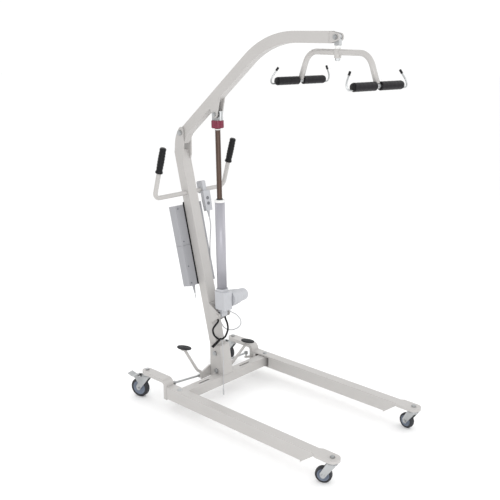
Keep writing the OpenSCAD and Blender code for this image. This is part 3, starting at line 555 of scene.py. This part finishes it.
def bead_line(points, radius, ripple=0.00035, pitch=0.0035):
    """Weld bead: a thin tube along points with the small even ripples of a weld pass."""
    path = []
    for a, b in zip(points, points[1:]):
        count = max(2, int((b - a).length / 0.0012))
        path += [a.lerp(b, k / count) for k in range(count)]
    path.append(points[-1])
    total = length_of(path)
    return tube(path, lambda t: radius + ripple * math.cos(2 * math.pi * t * total / pitch), 8)


def add_welds(m):
    """Beads where the goosenecks meet the legs and where the mast socket meets the beam."""
    for side, name in ((-1, "left"), (1, "right")):
        x = side * 318
        ring = [at(x - 25, 73, 60), at(x - 25, 73, 121.5), at(x + 25, 73, 121.5), at(x + 25, 73, 60)]
        keep(name + "_neck_weld", bead_line(ring, 0.0018), m["weld"], name + "_side")
    z = 112.3
    runs = [[at(x, -26.5, z), at(x, 24.5, z)] for x in (-35.3, 35.3)]
    runs.append([at(-34.5, -27.3, z), at(34.5, -27.3, z)])
    beads = [bead_line(run, 0.0020) for run in runs]
    keep("socket_weld", joined(beads), m["weld"], "base")


def add_bumpers(m):
    """Rubber stops on the rear ends of the legs."""
    dome = [(0.0, 0.0), (0.0125, 0.0), (0.0125, 0.010), (0.0095, 0.0155), (0.0, 0.0165)]
    for side, name in ((-1, "left"), (1, "right")):
        mesh = point_along(turned(rounded_profile(dome, 0.003), 48), at(side * 318, 93, 90), (0, 1, 0))
        keep(name + "_bumper", mesh, m["black_plastic"], name + "_side")


def add_actuator_trim(m):
    """Outer tube with its end collar, rod seal and rod band, and the motor's seams and cord gland."""
    up = Vector((0, math.sin(TILT), math.cos(TILT)))
    foot = at(*FOOT_PIN)
    barrel = ring_section(0.0226, 0.0250, 0.141, 0.590)
    sleeve = keep("tube_barrel", point_along(turned(barrel, 96), foot, up), m["tube_aluminium"], "base")
    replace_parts(sleeve, "actuator_tube")
    collar = [(0.0132, 0.5880), (0.0262, 0.5880), (0.0266, 0.5888), (0.0266, 0.5982), (0.0258, 0.5995),
              (0.0180, 0.6000), (0.0150, 0.6020), (0.0132, 0.6020), (0.0132, 0.5880)]
    keep("tube_collar", point_along(turned(collar, 96), foot, up), m["white_plastic"], "base")
    seal = [(0.0132, 0.6021), (0.0170, 0.6021), (0.0165, 0.6050), (0.0132, 0.6056), (0.0132, 0.6021)]
    keep("rod_wiper", point_along(turned(seal, 64), foot, up), m["black_plastic"], "base")
    band = [(0.0131, 0.9455), (0.0155, 0.9455), (0.0160, 0.9465), (0.0160, 0.9505), (0.0155, 0.9515),
            (0.0131, 0.9515), (0.0131, 0.9455)]
    keep("rod_band", point_along(turned(band, 64), foot, up), m["white_plastic"], "rod")
    motor_up, motor_front = 80, 19
    motor_y = FOOT_PIN[1] - motor_front * math.cos(TILT) + motor_up * math.sin(TILT)
    motor_z = FOOT_PIN[2] + motor_up * math.cos(TILT) + motor_front * math.sin(TILT)
    seams = []
    for x, r in ((36, 0.0422), (52, 0.0422), (96, 0.0341)):
        ring = [(r, -0.001), (r + 0.0006, -0.0006), (r + 0.0006, 0.0006), (r, 0.001), (r - 0.001, 0.001),
                (r - 0.001, -0.001), (r, -0.001)]
        seams.append(point_along(turned(ring, 96), at(x, motor_y, motor_z), (1, 0, 0)))
    keep("motor_seams", joined(seams), m["pale_plastic"], "base")
    gland = rounded_profile([(0.0031, 0.0), (0.0055, 0.0), (0.0065, 0.009), (0.0031, 0.009)], 0.001)
    gland.append(gland[0])
    keep("motor_gland", point_along(turned(gland, 32), at(22, -14, 463), (0, 0, 1)), m["pale_plastic"], "base")


def add_box_trim(m):
    """Cover screws, charging socket and charge lamps of the control box and battery."""
    up = Vector((0, math.sin(LEAN), math.cos(LEAN)))
    back = Vector((0, math.cos(LEAN), -math.sin(LEAN)))
    foot = at(0, 0, 60)

    def on_box(x, depth, height):
        return foot + Vector((x * MM, 0, 0)) + back * depth * MM + up * height * MM

    screw = [(0.0, 0.0), (0.0042, 0.0), (0.0040, 0.0016), (0.0026, 0.0024), (0.0018, 0.0024), (0.0016, 0.0010),
             (0.0, 0.0010)]
    for name, heights, body in (("plate_screws", (553, 640), "base"), ("battery_screws", (770, 940), "battery")):
        heads = [point_along(turned(screw, 24), on_box(x, 28, t), -back) for x in (-76, 76) for t in heights]
        keep(name, joined(heads), m["dark_plastic"], body)
    rim = [(0.0, -0.002), (0.0085, -0.002), (0.0085, 0.002), (0.0065, 0.0022), (0.0055, -0.001), (0.0, -0.001)]
    socket = point_along(turned(rounded_profile(rim, 0.0006), 40), on_box(-52, 88, 598), back)
    keep("charge_socket", socket, m["black_plastic"], "base")
    lamp = [(0.0, -0.001), (0.0024, -0.001), (0.0024, 0.0004), (0.0016, 0.0014), (0.0, 0.0017)]
    lamps = [point_along(turned(lamp, 24), on_box(x, 88, 708), back) for x in (-24, -12, 0)]
    keep("charge_lamps", joined(lamps), m["green_led"], "base")


add_camera()
MATERIALS = make_materials()
dress_cad(MATERIALS)
add_cords(MATERIALS)
add_cable_loop(MATERIALS)
add_studio()
add_grips(MATERIALS)
add_foams(MATERIALS)
add_bar_caps(MATERIALS)
add_spreader_tube(MATERIALS)
add_pads(MATERIALS)
add_wheels(MATERIALS)
add_welds(MATERIALS)
add_bumpers(MATERIALS)
add_actuator_trim(MATERIALS)
add_box_trim(MATERIALS)

bpy.context.scene.view_settings.view_transform = "Standard"
